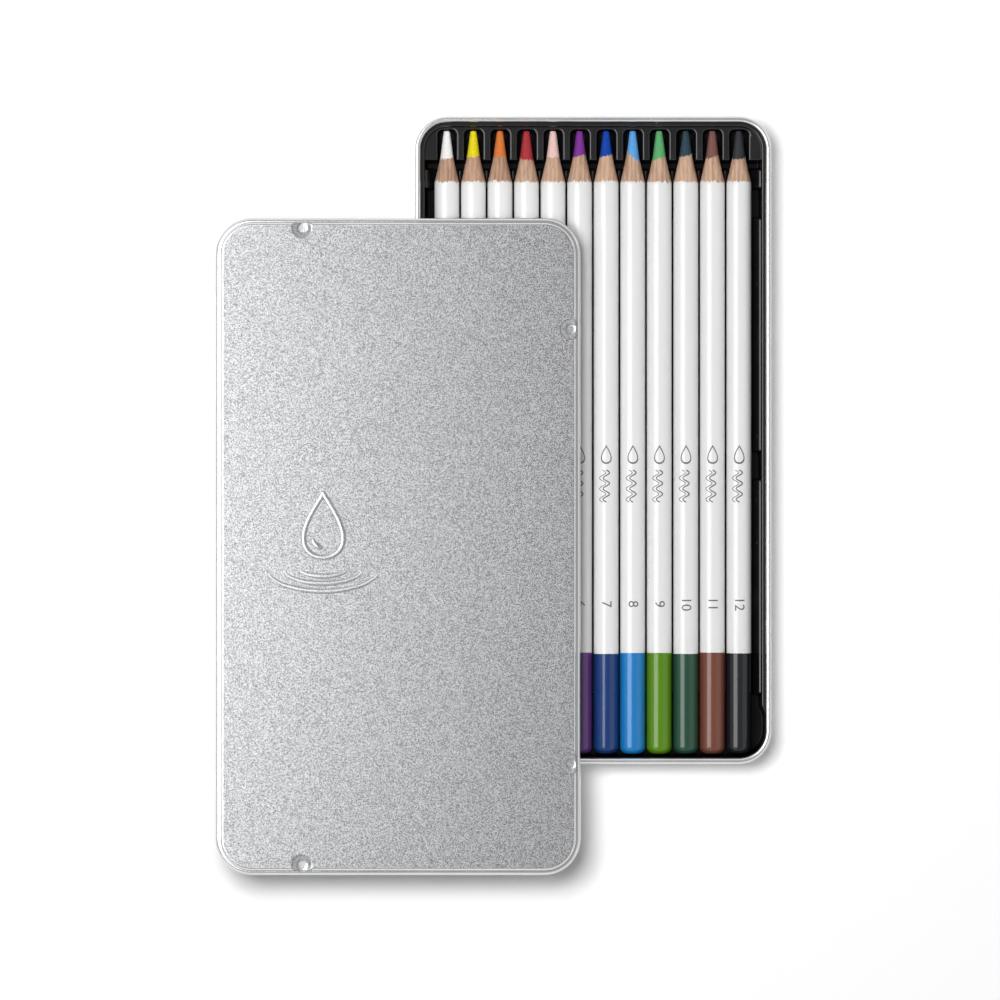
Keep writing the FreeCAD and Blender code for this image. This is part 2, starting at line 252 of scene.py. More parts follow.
def shade(colour, share, lift=0.0):
    """Darker or paler colour."""
    return tuple(min(1.0, c * share + lift) for c in colour[:3]) + (1.0,)


# Node helpers

def is_socket(value):
    """Whether an input is given as another node's output."""
    return isinstance(value, bpy.types.NodeSocket)


def give(node, sockets):
    """Sets a node's inputs, or links them where they are given as sockets."""
    for name, value in sockets.items():
        if is_socket(value):
            node.id_data.links.new(value, node.inputs[name])
        else:
            node.inputs[name].default_value = value


def add(kind, sockets, tree=None, **settings):
    """New node with its settings and inputs, in the tree given or in that of its inputs."""
    if tree is None:
        tree = next(value.id_data for value in sockets.values() if is_socket(value))
    made = tree.nodes.new(kind)
    for name, value in settings.items():
        setattr(made, name, value)
    give(made, sockets)
    return made


def maths(operation, *values):
    """Result of a Math node."""
    return add("ShaderNodeMath", dict(enumerate(values)), operation=operation).outputs[0]


def times(one, other):
    """Product of two numbers."""
    return maths("MULTIPLY", one, other)


def vector_maths(operation, *values):
    """Result of a Vector Math node."""
    node = add("ShaderNodeVectorMath", dict(enumerate(values)), operation=operation)
    return node.outputs["Value" if operation in ("LENGTH", "DOT_PRODUCT") else "Vector"]


def blend(share, low, high):
    """Number between two numbers."""
    return add("ShaderNodeMix", {0: share, 2: low, 3: high}).outputs[0]


def tint(share, low, high):
    """Colour between two colours."""
    sockets = {0: share, 6: low, 7: high}
    return add("ShaderNodeMix", sockets, data_type="RGBA").outputs[2]


def spread(value, low, high, new_low=0.0, new_high=1.0):
    """Value moved from one range to another, held at its ends."""
    sockets = dict(enumerate((value, low, high, new_low, new_high)))
    return add("ShaderNodeMapRange", sockets).outputs[0]


def parts_of(vector):
    """The three numbers of a vector."""
    return add("ShaderNodeSeparateXYZ", {0: vector}).outputs


def noise(vector, scale, detail=2.0, roughness=0.5, distortion=0.0):
    """Value of a Noise texture."""
    sockets = {"Vector": vector, "Scale": scale, "Detail": detail, "Roughness": roughness,
               "Distortion": distortion}
    return add("ShaderNodeTexNoise", sockets).outputs["Fac"]


def open_group(name, kind, inputs, outputs):
    """Empty node group with named sockets, its input node and its output node."""
    tree = bpy.data.node_groups.new(name, kind)
    face = tree.interface
    for label, socket, default in inputs:
        made = face.new_socket(label, in_out="INPUT", socket_type="NodeSocket" + socket)
        if default is not None:
            made.default_value = default
    for label, socket in outputs:
        face.new_socket(label, in_out="OUTPUT", socket_type="NodeSocket" + socket)
    given = tree.nodes.new("NodeGroupInput").outputs
    return tree, given, tree.nodes.new("NodeGroupOutput")


def open_shader_group(name, numbers, outputs):
    """Empty shader group with a vector and numbers as inputs, and numbers as outputs."""
    inputs = [("Vector", "Vector", None)] + [(label, "Float", None) for label in numbers]
    return open_group(name, "ShaderNodeTree", inputs, [(label, "Float") for label in outputs])


def clear_nodes(owner):
    """Empty node tree of a material or of the world."""
    owner.use_nodes = True
    owner.node_tree.nodes.clear()
    return owner.node_tree


# Shader groups shared by the finishes

def make_grain_group():
    """Fine even grain, as on frosted metal and pressed pigment."""
    tree, given, result = open_shader_group(
        "fine_grain", ("Grain Scale", "Contrast"), ("Grain", "Clouds"))
    coarse = noise(given["Vector"], given["Grain Scale"], 1.0, 0.6)
    fine_scale = times(given["Grain Scale"], 2.3)
    finer = noise(given["Vector"], fine_scale, 0.0)
    both = maths("MULTIPLY_ADD", finer, 0.45, times(coarse, 0.55))
    centred = times(maths("SUBTRACT", both, 0.5), given["Contrast"])
    clouds = noise(given["Vector"], 45.0, 3.0, 0.55)
    give(result, {"Grain": maths("ADD", centred, 0.5), "Clouds": clouds})
    return tree


def make_marks_group():
    """Specks of dust and faint smudges of handling."""
    tree, given, result = open_shader_group(
        "handling_marks", ("Speck Scale", "Speck Size"), ("Specks", "Smudge"))
    sockets = {"Vector": given["Vector"], "Scale": given["Speck Scale"]}
    cells = add("ShaderNodeTexVoronoi", sockets).outputs
    chosen = add("ShaderNodeSeparateColor", {0: cells["Color"]}).outputs[0]
    few = maths("GREATER_THAN", chosen, 0.9)
    near = maths("LESS_THAN", cells["Distance"], given["Speck Size"])
    cloud = noise(given["Vector"], 85.0, 4.0, 0.6, 0.6)
    give(result, {"Specks": times(few, near), "Smudge": spread(cloud, 0.48, 0.72)})
    return tree


def make_streaks_group():
    """Streaks drawn out along the pencils, as fibres and drawing lines are."""
    tree, given, result = open_shader_group(
        "long_streaks", ("Streak Scale", "Stretch"), ("Streaks", "Fibres"))
    drawn = add("ShaderNodeCombineXYZ", {0: 1.0, 1: given["Stretch"], 2: 1.0}).outputs[0]
    along = vector_maths("MULTIPLY", given["Vector"], drawn)
    fine = times(given["Streak Scale"], 3.7)
    streaks = noise(along, given["Streak Scale"], 3.0, 0.6, 0.3)
    give(result, {"Streaks": streaks, "Fibres": noise(along, fine, 2.0, 0.7)})
    return tree


FINE_GRAIN = make_grain_group()
HANDLING_MARKS = make_marks_group()
LONG_STREAKS = make_streaks_group()


# Finishes

def make_finish(name, looks, *values):
    """New material. Its looks are a function that gives the inputs of the Principled shader."""
    material = bpy.data.materials.new(name)
    tree = clear_nodes(material)
    place = tree.nodes.new("ShaderNodeTexCoord").outputs["Object"]
    shader = add("ShaderNodeBsdfPrincipled", looks(place, *values), tree)
    add("ShaderNodeOutputMaterial", {"Surface": shader.outputs["BSDF"]})
    return material


def use_group(group, place, **values):
    """Outputs of a placed group. Underscores stand for the spaces in its socket names."""
    sockets = {name.replace("_", " "): value for name, value in values.items()}
    sockets["Vector"] = place
    return add("ShaderNodeGroup", sockets, node_tree=group).outputs


def bump(height, strength, distance):
    """Normal of a small relief."""
    sockets = {"Height": height, "Strength": strength, "Distance": distance}
    return add("ShaderNodeBump", sockets).outputs[0]


def read_attribute(place, name):
    """Number that a mesh keeps at each of its points."""
    return add("ShaderNodeAttribute", {}, place.id_data, attribute_name=name).outputs["Fac"]


def specked(marks, share, colour, speck_colour):
    """Colour with a few specks."""
    return tint(times(marks["Specks"], share), colour, speck_colour)


def frosted_lid(place):
    """Frosted silver panel with smooth, brighter pressed edges."""
    frost = read_attribute(place, "frost")
    grain = use_group(FINE_GRAIN, place, Grain_Scale=3400.0, Contrast=10.0)
    marks = use_group(HANDLING_MARKS, place, Speck_Scale=160.0, Speck_Size=0.05)
    dark, pale = (0.165, 0.167, 0.172, 1), (0.575, 0.580, 0.595, 1)
    speckle = tint(grain["Grain"], dark, pale)
    dull, bright = (0.68, 0.685, 0.69, 1), (0.78, 0.78, 0.785, 1)
    smooth = tint(grain["Clouds"], dull, bright)
    frosted = spread(grain["Grain"], 0.0, 1.0, 0.33, 0.40)
    polished = spread(marks["Smudge"], 0.0, 1.0, 0.16, 0.24)
    return {
        "Base Color": tint(frost, smooth, speckle),
        "Metallic": 1.0,
        "Roughness": blend(frost, polished, frosted),
        "Normal": bump(times(grain["Grain"], frost), 0.05, 0.00010)}


def bright_tin(place):
    """Bright tinplate with soft clouds and faint smudges."""
    grain = use_group(FINE_GRAIN, place, Grain_Scale=1500.0, Contrast=1.0)
    marks = use_group(HANDLING_MARKS, place, Speck_Scale=220.0, Speck_Size=0.06)
    dull, bright = (0.70, 0.705, 0.715, 1), (0.77, 0.77, 0.78, 1)
    cloudy = spread(grain["Clouds"], 0.3, 0.7, 0.20, 0.25)
    return {
        "Base Color": tint(grain["Clouds"], dull, bright),
        "Metallic": 1.0,
        "Roughness": maths("MULTIPLY_ADD", marks["Smudge"], 0.05, cloudy),
        "Normal": bump(grain["Grain"], 0.02, 0.00002)}


def black_tray(place):
    """Glossy black formed sheet with some dust and a faint orange peel. Its reflection is turned
    down deep in the recesses, as painted shade.
    """
    height = parts_of(place)[2]
    marks = use_group(HANDLING_MARKS, place, Speck_Scale=500.0, Speck_Size=0.09)
    grain = use_group(FINE_GRAIN, place, Grain_Scale=380.0, Contrast=1.0)
    deep, pale = (0.004, 0.004, 0.005, 1), (0.009, 0.009, 0.011, 1)
    sheet = tint(marks["Smudge"], deep, pale)
    return {
        "Base Color": specked(marks, 0.5, sheet, (0.30, 0.30, 0.31, 1)),
        "IOR": 1.55,
        # Weaker reflection near the floor of the well: painted shade in the channels and recesses
        "Specular IOR Level": spread(height, 0.001, 0.005, 0.10, 0.5),
        "Roughness": spread(marks["Smudge"], 0.0, 1.0, 0.10, 0.19),
        "Normal": bump(grain["Grain"], 0.06, 0.0001)}


def bare_wood(place):
    """Sharpened wood: growth lines, fibres, two slats of slightly different tone."""
    streaks = use_group(LONG_STREAKS, place, Streak_Scale=900.0, Stretch=0.07)
    slat = read_attribute(place, "slat")
    tone = read_attribute(place, "wood_tone")
    wave = add("ShaderNodeTexWave", {
        "Vector": vector_maths("MULTIPLY", place, (1.0, 0.16, 0.8)), "Scale": 260.0,
        "Distortion": 7.0, "Detail": 3.0, "Detail Scale": 1.4, "Detail Roughness": 0.6})
    lines = times(spread(wave.outputs["Fac"], 0.15, 0.95), 0.25)
    grain = maths("MULTIPLY_ADD", streaks["Streaks"], 0.75, lines)
    dark = tint(tone, linear("#8a664f"), linear("#ab8870"))
    light = tint(tone, linear("#b9937a"), linear("#d8b8a0"))
    base = tint(spread(grain, 0.18, 0.66), dark, light)
    second = tint(0.35, base, linear("#d4b094"))
    halves = tint(spread(slat, -0.04, 0.04), base, second)
    flecks = times(spread(streaks["Fibres"], 0.38, 0.26), 0.50)
    marked = tint(flecks, halves, linear("#6e4e3c"))
    seam = spread(maths("ABSOLUTE", slat), 0.015, 0.045, 0.55, 0.0)
    return {
        "Base Color": tint(seam, marked, linear("#80604c")),
        "IOR": 1.45,
        "Roughness": spread(streaks["Streaks"], 0.2, 0.8, 0.55, 0.72),
        "Normal": bump(streaks["Fibres"], 0.35, 0.00008)}


def coat(place, deep, pale, streak, speck, speck_share, speck_colour, rough, relief):
    """Smooth paint with a soft unevenness along the pencil and a rare speck."""
    marks = use_group(HANDLING_MARKS, place, Speck_Scale=speck[0], Speck_Size=speck[1])
    streaks = use_group(LONG_STREAKS, place, Streak_Scale=streak[0], Stretch=streak[1])
    paint = tint(streaks["Streaks"], deep, pale)
    return {
        "Base Color": specked(marks, speck_share, paint, speck_colour),
        "IOR": 1.5,
        "Roughness": spread(marks["Smudge"], 0.0, 1.0, *rough),
        "Normal": bump(streaks["Streaks"], relief, 0.00012)}


def white_lacquer(place):
    """Satin white lacquer with rare dark specks."""
    return coat(
        place, (0.77, 0.77, 0.766, 1), (0.81, 0.81, 0.806, 1), streak=(420.0, 0.10),
        speck=(210.0, 0.035), speck_share=0.5, speck_colour=(0.36, 0.35, 0.33, 1),
        rough=(0.16, 0.21), relief=0.04)


def dip_paint(place, code):
    """Glossy dipped paint, a little thicker and paler in places."""
    full = linear(code)
    return coat(
        place, shade(full, 0.74), shade(full, 0.88, 0.003), streak=(380.0, 0.12),
        speck=(300.0, 0.045), speck_share=0.35, speck_colour=(0.55, 0.55, 0.55, 1),
        rough=(0.13, 0.20), relief=0.05)


def core_pigment(place, code):
    """Waxy pressed pigment with the fine marks of sharpening."""
    grain = use_group(FINE_GRAIN, place, Grain_Scale=2400.0, Contrast=2.0)
    streaks = use_group(LONG_STREAKS, place, Streak_Scale=1300.0, Stretch=0.15)
    full = linear(code)
    deep = shade(full, 0.72)
    pigment = tint(grain["Grain"], deep, shade(full, 1.08, 0.012))
    scored = spread(streaks["Streaks"], 0.55, 0.8, 0.0, 0.35)
    return {
        "Base Color": tint(scored, pigment, deep),
        "IOR": 1.25,
        "Roughness": spread(grain["Clouds"], 0.3, 0.7, 0.46, 0.60),
        "Normal": bump(grain["Grain"], 0.25, 0.00006)}


def print_ink(place):
    """Thin grey printing ink, a little uneven."""
    grain = use_group(FINE_GRAIN, place, Grain_Scale=5200.0, Contrast=1.6)
    return {
        "Base Color": tint(grain["Grain"], linear("#4c4d50"), linear("#6a6b6e")),
        "Roughness": spread(grain["Clouds"], 0.3, 0.7, 0.40, 0.52)}


# Geometry Nodes trees

def open_tree(name, inputs):
    """Empty Geometry Nodes tree for pieces with a finish."""
    inputs = inputs + [("Finish", "Material", None)]
    return open_group(name, "GeometryNodeTree", inputs, [("Piece", "Geometry")])


def step(kind, sockets, tree=None, **settings):
    """First output of a Geometry Nodes node."""
    return add("GeometryNode" + kind, sockets, tree, **settings).outputs[0]


def named(tree, name):
    """Number that a line keeps at each of its points."""
    return step("InputNamedAttribute", {"Name": name}, tree, data_type="FLOAT")


def store(piece, name, value):
    """Piece that keeps a number at each of its points."""
    sockets = {"Geometry": piece, "Name": name, "Value": value}
    return step("StoreNamedAttribute", sockets, data_type="FLOAT", domain="POINT")


def close_tree(given, result, piece):
    """Ends a tree with a plain mesh in its finish."""
    real = step("RealizeInstances", {"Geometry": piece})
    finished = step("SetMaterial", {"Geometry": real, "Material": given["Finish"]})
    give(result, {"Piece": finished})
    return result.id_data


def make_turned_tree():
    """Turns a section round a pencil's axis, and roughens and slants the marked edges."""
    tree, given, result = open_tree("turned_pencil_piece", [
        ("Section", "Geometry", None), ("Segments", "Int", 96), ("Axis Place", "Vector", (0, 0, 0)),
        ("Wobble Scale", "Float", 3.0), ("Seed", "Float", 0.0), ("Slant", "Vector", (0, 0, 0)),
        ("Seam Side", "Vector", (1, 0, 0)), ("Wood Tone", "Float", 0.5)])
    lathe = 1.0 * MM
    section = step("MeshToCurve", {"Mesh": given["Section"]})
    shifted = step("Transform", {"Geometry": section, "Translation": (-lathe, 0, 0)})
    sockets = {"Resolution": given["Segments"], "Radius": lathe}
    circle = step("CurvePrimitiveCircle", sockets)
    turned = step("CurveToMesh", {"Curve": circle, "Profile Curve": shifted})
    upright = step("Transform", {"Geometry": turned, "Rotation": (math.radians(-90), 0, 0)})
    point = step("InputPosition", {}, tree)
    across = vector_maths("MULTIPLY", point, (1, 0, 1))
    side = vector_maths("NORMALIZE", across)
    ragged = add("ShaderNodeTexNoise", {
        "Vector": side, "W": given["Seed"], "Scale": given["Wobble Scale"], "Detail": 3.0,
        "Roughness": 0.75}, noise_dimensions="4D").outputs["Fac"]
    both_ways = maths("MULTIPLY_ADD", ragged, 2.0, -1.0)
    swing = times(both_ways, named(tree, "edge_wobble"))
    lean = vector_maths("DOT_PRODUCT", side, given["Slant"])
    slanted = times(lean, named(tree, "edge_slant"))
    shift = maths("ADD", swing, slanted)
    new_y = maths("SUBTRACT", parts_of(point)[1], shift)
    station = times(new_y, -1.0)
    beyond = maths("SUBTRACT", station, BARE_CORE_LENGTH * MM)
    behind = times(maths("MAXIMUM", beyond, 0.0), REAR_SLOPE)
    ahead = times(maths("MINIMUM", beyond, 0.0), FRONT_SLOPE)
    lifted = maths("ADD", named(tree, "cone_lift"), CORE_RADIUS * MM)
    sloped = maths("ADD", lifted, maths("ADD", behind, ahead))
    cone = maths("MINIMUM", sloped, BARREL_RADIUS * MM)
    radius = blend(named(tree, "on_cone"), vector_maths("LENGTH", across), cone)
    sockets = {0: side, 3: radius}
    flat = add("ShaderNodeVectorMath", sockets, operation="SCALE").outputs[0]
    along = add("ShaderNodeCombineXYZ", {1: new_y}).outputs[0]
    sockets = {"Geometry": upright, "Position": vector_maths("ADD", flat, along)}
    marked = step("SetPosition", sockets)
    slat = vector_maths("DOT_PRODUCT", side, given["Seam Side"])
    toned = store(store(marked, "slat", slat), "wood_tone", given["Wood Tone"])
    placed = step("Transform", {"Geometry": toned, "Translation": given["Axis Place"]})
    welded = step("MergeByDistance", {"Geometry": placed, "Distance": WELD * MM})
    return close_tree(given, result, welded)


def make_sweep_tree(name, bead=False):
    """Sweeps a drawn section along a level line. A bead tapers, has end faces and is frosted."""
    tree, given, result = open_tree(name, [
        ("Line", "Geometry", None), ("Section", "Object", None), ("Place", "Vector", (0, 0, 0))])
    path = step("MeshToCurve", {"Mesh": given["Line"]})
    level = step("SetCurveNormal", {"Curve": path}, mode="Z_UP")
    drawing = add("GeometryNodeObjectInfo", {"Object": given["Section"]}).outputs["Geometry"]
    sockets = {"Curve": level, "Profile Curve": step("MeshToCurve", {"Mesh": drawing})}
    if bead:
        sockets.update({"Scale": named(tree, "line_width"), "Fill Caps": True})
    swept = step("CurveToMesh", sockets)
    if bead:
        swept = store(swept, "frost", EMBLEM_FROST)
    placed = step("Transform", {"Geometry": swept, "Translation": given["Place"]})
    return close_tree(given, result, placed)


def make_print_tree():
    """Lays a flat print on a barrel. X of the print runs along the barrel, away from the point."""
    tree, given, result = open_tree("print_on_barrel", [
        ("Print", "Geometry", None), ("Axis Place", "Vector", (0, 0, 0))])
    barrel = (BARREL_RADIUS - INK_SUNK) * MM
    spot = parts_of(step("InputPosition", {}, tree))
    turn = maths("DIVIDE", spot[1], barrel)
    radius = maths("ADD", spot[2], barrel)
    wrapped = add("ShaderNodeCombineXYZ", {
        0: times(maths("SINE", turn), radius),
        1: times(spot[0], -1.0),
        2: times(maths("COSINE", turn), radius)}).outputs[0]
    position = vector_maths("ADD", wrapped, given["Axis Place"])
    laid = step("SetPosition", {"Geometry": given["Print"], "Position": position})
    return close_tree(given, result, laid)


TURNED_PIECE = make_turned_tree()
DRAWN_SHEET = make_sweep_tree("drawn_sheet")
RAISED_LINE = make_sweep_tree("raised_line", bead=True)
PRINT_ON_BARREL = make_print_tree()


# Mesh helpers

def place_object(name, data):
    """New object in the scene."""
    made = bpy.data.objects.new(name, data)
    bpy.context.scene.collection.objects.link(made)
    return made


def plain_mesh(made):
    """Mesh of an object as its modifiers or its text show it."""
    bpy.context.view_layer.update()
    return bpy.data.meshes.new_from_object(
        made.evaluated_get(bpy.context.evaluated_depsgraph_get()))


def open_mesh(mesh):
    """Mesh ready for editing."""
    work = bmesh.new()
    work.from_mesh(mesh)
    return work


def close_mesh(work, mesh):
    """Writes an edited mesh back."""
    work.to_mesh(mesh)
    work.free()


def line_object(name, points, closed, attributes=None):
    """Flat polyline in millimetres, as the input of a Geometry Nodes tree."""
    mesh = bpy.data.meshes.new(name)
    count = len(points)
    edges = [(i, i + 1) for i in range(count - 1)]
    if closed:
        edges.append((count - 1, 0))
    mesh.from_pydata([Vector((x, y, 0.0)) * MM for x, y in points], edges, [])
    for label, values in (attributes or {}).items():
        mesh.attributes.new(label, "FLOAT", "POINT").data.foreach_set("value", values)
    return place_object(name, mesh)


def grow(made, tree, **values):
    """Runs a tree on an object and leaves it with the resulting plain mesh."""
    modifier = made.modifiers.new("making", "NODES")
    modifier.node_group = tree
    for item in tree.interface.items_tree:
        label = item.name.replace(" ", "_")
        if item.in_out == "INPUT" and label in values:
            modifier[item.identifier] = values[label]
    mesh = plain_mesh(made)
    mesh.name = made.name
    made.modifiers.remove(modifier)
    made.data = mesh


def settle(made, sharp=35.0):
    """Turns the faces outwards and keeps only the real edges sharp."""
    work = open_mesh(made.data)
    bmesh.ops.recalc_face_normals(work, faces=work.faces)
    for face in work.faces:
        face.smooth = True
    close_mesh(work, made.data)
    made.data.set_sharp_from_angle(angle=math.radians(sharp))
    return made


def arc(centre, radius, start, end, steps):
    """Points of an arc, angles in degrees."""
    angles = [math.radians(start + (end - start) * i / steps) for i in range(steps + 1)]
    return [(centre[0] + radius * math.cos(a), centre[1] + radius * math.sin(a)) for a in angles]


def border_lines(faces):
    """Sides that belong to one face only, in that face's direction."""
    sides = [side for face in faces for side in zip(face, face[1:] + face[:1])]
    known = set(sides)
    return [(a, b) for a, b in sides if (b, a) not in known]


def closed_sheet(name, upper, lower, faces, rim):
    """Mesh of a sheet from the points of its two sides, the faces between them and the rim."""
    total = len(upper)
    under = [tuple(total + v for v in reversed(face)) for face in faces]
    wall = [(b, a, total + a, total + b) for a, b in rim]
    mesh = bpy.data.meshes.new(name)
    points = [tuple(p) for p in np.concatenate([upper, lower])]
    mesh.from_pydata(points, [], faces + under + wall)
    return mesh


def soft_min(a, b, width):
    """Lower of two heights with the corner between them rounded."""
    share = np.clip(0.5 + 0.5 * (b - a) / width, 0, 1)
    return b + (a - b) * share - width * share * (1 - share)


# Pencils

def turned_piece(name, stations, finish, index, marks=None, **values):
    """One turned piece of a pencil. Stations are radius and distance behind the point.
    Marks give a station's wobble, its share of the slant and its lift off the cone."""
    labels = ("edge_wobble", "edge_slant", "cone_lift", "on_cone")
    attributes = {label: [0.0] * len(stations) for label in labels}
    for position, (wobble, slant, lift) in (marks or {}).items():
        for label, value in zip(labels, (wobble * MM, slant, lift * MM, 1.0)):
            attributes[label][position] = value
    closed = stations[0][0] > 0
    made = line_object(name, stations, closed, attributes)
    place = (axis_x(index) * MM, TIP_Y * MM, AXIS_Z * MM)
    grow(made, TURNED_PIECE, Axis_Place=place, Seed=3.7 * index + 1.3, Finish=finish, **values)
    return settle(made)


def cone_radius(station):
    """Radius of the sharpened cone."""
    beyond = station - BARE_CORE_LENGTH
    return CORE_RADIUS + beyond * (REAR_SLOPE if beyond > 0 else FRONT_SLOPE)


def make_core(name, index, finish):
    """Rod of colour with a worn, rounded point. Its cone runs on under the wood's ragged edge."""
    centre = (POINT_RADIUS - TIP_ROUND + TIP_FLARE, TIP_ROUND)
    stations = [(0.0, 0.0), TIP_FLAT] + arc(centre, TIP_ROUND, -90, -8, 6)
    stations += [(cone_radius(s), s) for s in CORE_STOPS]
    stations += [(CORE_RADIUS, CORE_CONE_END), (CORE_RADIUS, WOOD_END), (0.0, WOOD_END)]
    return turned_piece(name + "_pencil_core_piece", stations, finish, index, Segments=64)


def ragged_piece(name, finish, index, edge, profile, barrel, lift, tuck, **values):
    """Turned piece with a ragged front edge on the cone. Its profile gives the distance behind
    the edge, the wobble and the share of the slant."""
    stations = [(cone_radius(edge + back), edge + back) for back, _, _ in profile]
    marks = {i: (wobble, slant, lift) for i, (_, wobble, slant) in enumerate(profile)}
    stations += barrel + stations[:1]
    marks[len(stations) - 1] = marks[0][:2] + (tuck,)
    return turned_piece(name, stations, finish, index, marks, Segments=192, **values)


def make_casing(name, index, finish, shift, slant, seam, tone):
    """Wooden casing: ragged edge on the core, sharpened cone, plain barrel, bore."""
    profile = [(back, WOOD_RAGGED * share, share) for back, share in WOOD_EDGE]
    barrel = [(WOOD_RADIUS, POINT_LENGTH), (WOOD_RADIUS, WOOD_END), (BORE_RADIUS, WOOD_END),
              (BORE_RADIUS, BORE_STOP)]
    turn = math.radians(seam + 90)
    return ragged_piece(
        name + "_pencil_casing_piece", finish, index, BARE_CORE_LENGTH + shift, profile, barrel,
        WOOD_LIFT, WOOD_TUCK, Wobble_Scale=5.5, Slant=(slant[0] * MM, 0.0, slant[1] * MM),
        Seam_Side=(math.cos(turn), 0.0, -math.sin(turn)), Wood_Tone=tone)


def make_lacquer(name, index, finish):
    """White coat with a finely torn front edge on the cone."""
    profile = [(back, wobble, 0.0) for back, wobble in COAT_EDGE]
    barrel = [(BARREL_RADIUS, stop) for stop in COAT_STOPS + (WOOD_END,)]
    barrel += [(WOOD_RADIUS, WOOD_END), (WOOD_RADIUS - 0.02, COAT_STOPS[1])]
    return ragged_piece(
        name + "_pencil_lacquer_piece", finish, index, POINT_LENGTH, profile, barrel,
        COAT_LIFT, COAT_TUCK, Wobble_Scale=5.0)


def make_dip(name, index, finish):
    """Coloured cap with a soft front edge and a rounded end."""
    front = PENCIL_LENGTH - DIP_LENGTH + DIP_UNEVEN * math.sin(2.3 * index)
    centre = (DIP_RADIUS - DIP_END_ROUND, PENCIL_LENGTH - DIP_END_ROUND)
    stations = [(0.0, WOOD_END), (BARREL_RADIUS, WOOD_END), (BARREL_RADIUS - 0.01, front)]
    stations += [(BARREL_RADIUS + 0.05, front - 0.02), (DIP_RADIUS - 0.01, front + 0.06)]
    stations += [(DIP_RADIUS, front + 0.25)] + arc(centre, DIP_END_ROUND, 0, 84, 10)
    stations += [(DIP_END_FLAT[0], PENCIL_LENGTH - DIP_END_FLAT[1]), (0.0, PENCIL_LENGTH)]
    return turned_piece(name + "_pencil_dip_piece", stations, finish, index, Segments=96)


def make_pencils():
    """Twelve pencils, each of a core, a casing, a lacquer coat and a dipped end."""
    wood = make_finish("bare_wood", bare_wood)
    lacquer = make_finish("white_lacquer", white_lacquer)
    for index, (name, core_code, dip_code, shift, slant, seam, tone) in enumerate(PENCILS):
        body = name + "_pencil"
        pigment = make_finish("core_" + name, core_pigment, core_code)
        paint = make_finish("dip_" + name, dip_paint, dip_code)
        made = {
            "core": make_core(name, index, pigment),
            "casing": make_casing(name, index, wood, shift, slant, seam, tone),
            "lacquer": make_lacquer(name, index, lacquer),
            "end_dip": make_dip(name, index, paint),
        }
        for piece, shown in made.items():
            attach(shown, body)
            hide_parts(body + "_" + piece)


# Tin base and lid

def outline(half_x, half_y, corner, pitch, close_up=()):
    """Rounded rectangle, counter-clockwise, with closer points near the places given."""
    points = []
    for sx, sy, start in ((1, -1, -90), (1, 1, 0), (-1, 1, 90), (-1, -1, 180)):
        centre = (sx * (half_x - corner), sy * (half_y - corner))
        points += arc(centre, corner, start, start + 90, CORNER_STEPS)
    filled = []
    for here, there in zip(points, points[1:] + points[:1]):
        start, end = Vector(here), Vector(there)
        length = (end - start).length
        if length < pitch:
            filled.append(here)
            continue
        count = round(length / pitch)
        stops = {i / count for i in range(count)}
        way = (end - start) / length
        for place, reach, close_pitch in close_up:
            middle = (Vector(place) - start).dot(way)
            beside = abs((Vector(place) - start).cross(way))
            if beside < reach and 0 < middle < length:
                near = np.arange(middle - reach, middle + reach, close_pitch) / length
                stops = {s for s in stops if abs(s * length - middle) > reach} | set(near)
        filled += [tuple(start + (end - start) * s) for s in sorted(stops)]
    return filled


def drawn_sheet(name, path, section, finish):
    """Sheet piece swept round an outline. The section's first and last edges are filled flat."""
    made = line_object(name, path, True)
    points = [(-inwards, -z) for inwards, z in section]
    drawing = line_object(name + "_section", points, False)
    grow(made, DRAWN_SHEET, Section=drawing, Finish=finish)
    bpy.data.objects.remove(drawing)
    work = open_mesh(made.data)
    rims = [edge for edge in work.edges if edge.is_boundary]
    bmesh.ops.holes_fill(work, edges=rims, sides=0)
    close_mesh(work, made.data)
    return made


def make_tin_base(finish):
    """Drawn tray with a rounded foot and a rolled rim."""
    foot = (TIN_FOOT_ROUND, TIN_FOOT_ROUND)
    rim = (RIM_RADIUS, TIN_HEIGHT - RIM_RADIUS)
    rim_end = 180 - RIM_TURN
    section = [(BASE_FLAT, 0.0)] + arc(foot, TIN_FOOT_ROUND, 270, 180, 8)
    section += arc(rim, RIM_RADIUS, 180, rim_end, 30)
    section += arc(rim, RIM_RADIUS - TIN_SHEET, rim_end, 180, 20)
    section += arc(foot, TIN_FOOT_ROUND - TIN_SHEET, 180, 270, 6) + [(BASE_FLAT, TIN_SHEET)]
    path = outline(TIN_HALF_X, TIN_HALF_Y, TIN_CORNER, pitch=6.0)
    return settle(drawn_sheet("tin_base_piece", path, section, finish), sharp=40.0)


def dimple_places():
    """Middles of the four dimples, from the middle of the lid."""
    edge_x = LID_HALF_X - DIMPLE_INSET
    edge_y = LID_HALF_Y - DIMPLE_INSET
    return [(DIMPLE_ACROSS, edge_y), (DIMPLE_ACROSS, -edge_y),
            (edge_x, DIMPLE_ALONG), (edge_x, -DIMPLE_ALONG)]


def press_dimples(x, y, z, inset):
    """Heights after the four round presses. The inset is that of the lower face."""
    slope = DIMPLE_DEPTH / (DIMPLE_HALF - DIMPLE_FLOOR)
    bottom = LID_HEIGHT - DIMPLE_DEPTH
    for place_x, place_y in dimple_places():
        away = np.hypot(x - place_x, y - place_y)
        wall = bottom + slope * (away - DIMPLE_FLOOR) - inset * math.hypot(1.0, slope)
        press = -soft_min(-wall, -(bottom - inset) + 0 * x, DIMPLE_SOFT_FLOOR)
        z = soft_min(z, press, DIMPLE_SOFT_BRIM)
    return z


